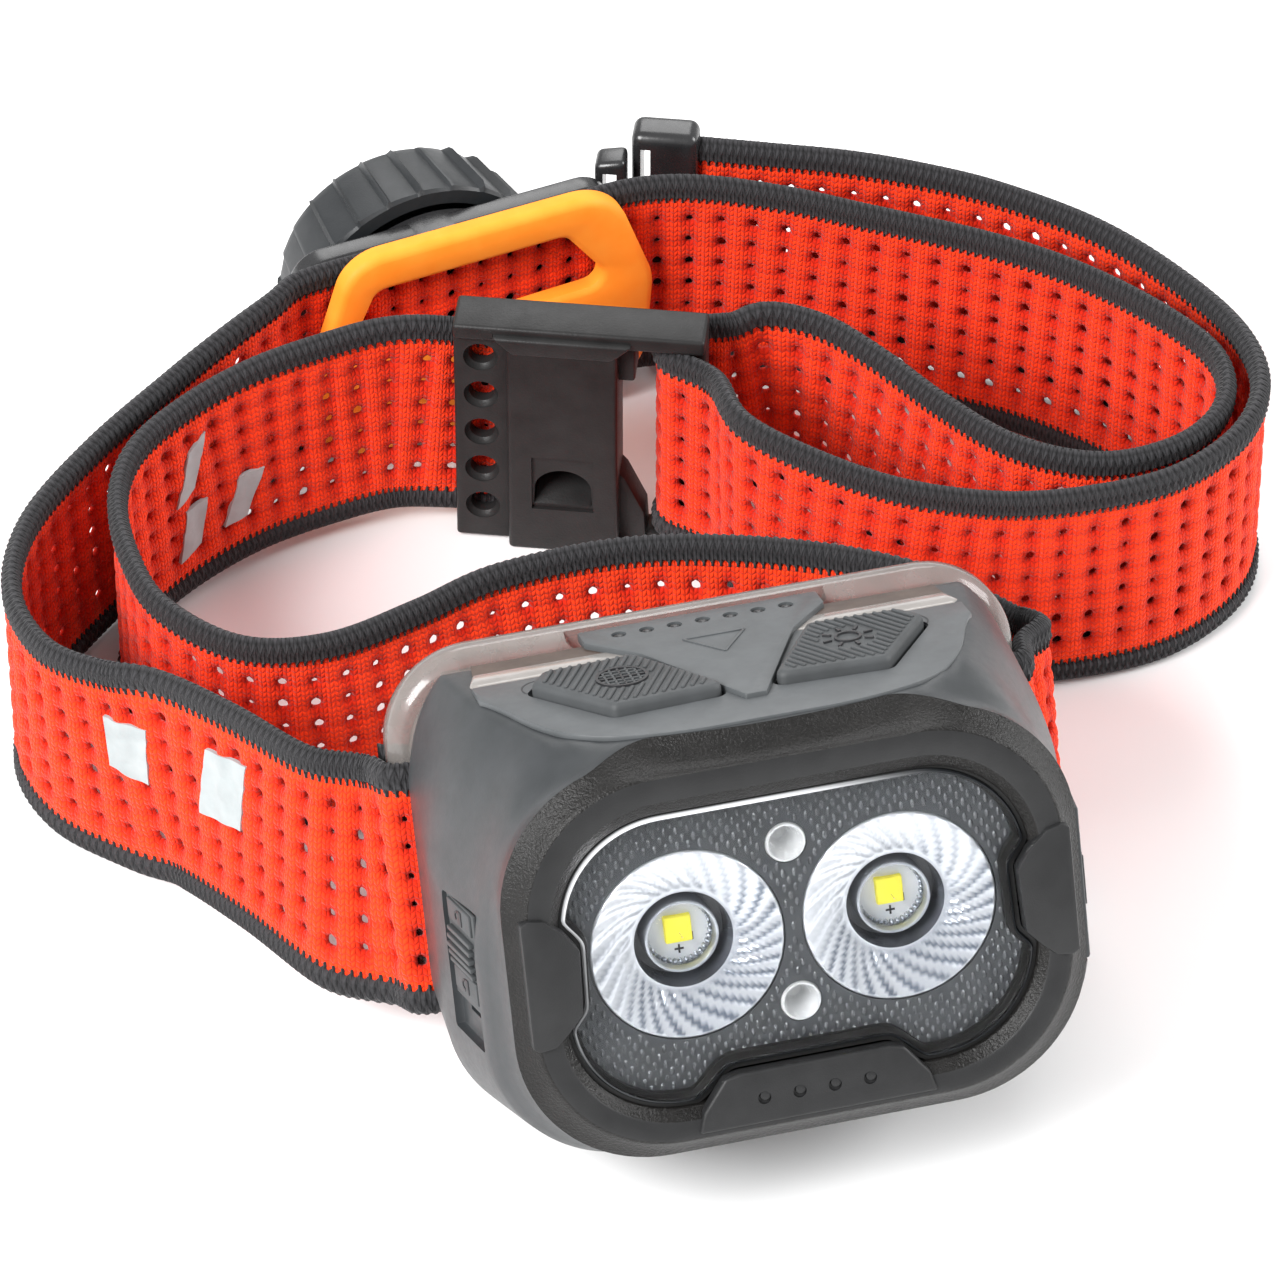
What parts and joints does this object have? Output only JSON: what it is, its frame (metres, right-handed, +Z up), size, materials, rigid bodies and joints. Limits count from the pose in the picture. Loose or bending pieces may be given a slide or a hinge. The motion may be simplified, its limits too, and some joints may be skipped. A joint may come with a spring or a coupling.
{
  "type": "headlamp",
  "caption": "Trail-running headlamp: twin-optic lamp tilting on a bracket, perforated elastic headband with buckle, slide adjuster and rotary dial.",
  "frame": {"origin": "centre of the object's box, on the surface it stands on", "axes": "the lamp faces -Y and leans back, +Z is up, +X is to the right of someone facing the lamp"},
  "size_m": [0.1272, 0.1348, 0.0505],
  "materials": {
    "bezel_plastic": "fine sandblast texture",
    "clear_window": "clear polycarbonate, polished",
    "seal_rubber": "matt",
    "mask_plastic": "small raised lenses on a satin ground",
    "clear_optic": "polished clear acrylic",
    "reflector": "bright",
    "led_yellow": "phosphor",
    "led_red": "satin",
    "board_white": "white solder mask",
    "aluminium": "satin",
    "screw_steel": "satin",
    "body_plastic": "charcoal, fine spark-eroded texture",
    "panel_plastic": "satin grey",
    "button_rubber": "soft touch",
    "board_green": "solder mask",
    "switch_metal": "stamped",
    "port_steel": "deep drawn",
    "cover_rubber": "matt",
    "battery_wrap": "shrink wrap",
    "contact_brass": "plated",
    "smoky_plastic": "smoky translucent nylon",
    "spring_steel": "bright",
    "band_fabric": "perforated knitted elastic with dark grey edges",
    "buckle_plastic": "satin acetal",
    "knob_plastic": "satin",
    "spool_plastic": "acetal",
    "orange_plastic": "smooth satin"
  },
  "bodies": {
    "headband": {"bracket_frame": "smoky_plastic", "tilt_pins": "screw_steel", "detent_spring": "spring_steel", "end_loop_left": "band_fabric", "end_loop_right": "band_fabric", "band_left": "band_fabric", "band_left_turn": "band_fabric", "band_back": "band_fabric", "band_right_turn": "band_fabric", "band_to_buckle": "band_fabric", "band_fold": "band_fabric", "band_tail_front": "band_fabric", "band_tail_turn": "band_fabric", "band_tail_back": "band_fabric", "side_band_buckle": "band_fabric", "side_band_turn": "band_fabric", "side_band_front": "band_fabric", "side_band_right": "band_fabric", "buckle": "buckle_plastic", "slide_adjuster": "buckle_plastic", "band_keeper": "buckle_plastic", "dial_base": "buckle_plastic", "dial_screw": "screw_steel", "pawl_spring": "spring_steel", "head_plate": "orange_plastic", "plate_screws": "screw_steel"},
    "lamp": {"front_bezel": "bezel_plastic", "lens_window": "clear_window", "lens_gasket": "seal_rubber", "optic_mask": "mask_plastic", "optic_left": "clear_optic", "optic_right": "clear_optic", "red_reflectors": "reflector", "white_leds": "led_yellow", "red_leds": "led_red", "led_board": "board_white", "heat_sink": "aluminium", "heat_sink_screws": "screw_steel", "housing_shell": "body_plastic", "top_panel": "panel_plastic", "button_switches": "switch_metal", "driver_board": "board_green", "lock_switch": "switch_metal", "usb_port": "port_steel", "battery_pack": "battery_wrap", "battery_contacts": "contact_brass", "cover_gasket": "seal_rubber", "rear_cover": "body_plastic", "cover_screws": "screw_steel"},
    "flood_button": {"flood_button": "button_rubber"},
    "spot_button": {"spot_button": "button_rubber"},
    "lock_slider": {"lock_slider": "button_rubber"},
    "port_cover": {"port_cover": "cover_rubber"},
    "dial": {"dial_knob": "knob_plastic", "dial_spool": "spool_plastic"}
  },
  "joints": [
    {"name": "lamp_tilt", "type": "hinge", "parent": "headband", "child": "lamp", "pos_m": [-0.00474, -0.03718, 0.003], "axis": [1, 0, 0], "range_deg": [0, 60]},
    {"name": "flood_press", "type": "slide", "parent": "lamp", "child": "flood_button", "axis": [0, -0.3907, -0.9205], "range_m": [0, 0.0007], "stiffness_N_per_m": 1000, "springref_m": -0.0004},
    {"name": "spot_press", "type": "slide", "parent": "lamp", "child": "spot_button", "axis": [0, -0.3907, -0.9205], "range_m": [0, 0.0007], "stiffness_N_per_m": 1000, "springref_m": -0.0004},
    {"name": "lock_slide", "type": "slide", "parent": "lamp", "child": "lock_slider", "axis": [0, -0.3907, -0.9205], "range_m": [0, 0.0032]},
    {"name": "port_cover_swing", "type": "hinge", "parent": "lamp", "child": "port_cover", "pos_m": [0.02459, -0.0437, 0.02424], "axis": [0, 0.3907, 0.9205], "range_deg": [0, 110]},
    {"name": "dial_turn", "type": "hinge", "parent": "headband", "child": "dial", "pos_m": [-0.01277, 0.06186, 0.0146], "axis": [-0.1564, 0.9877, 0], "continuous": true}
  ]
}
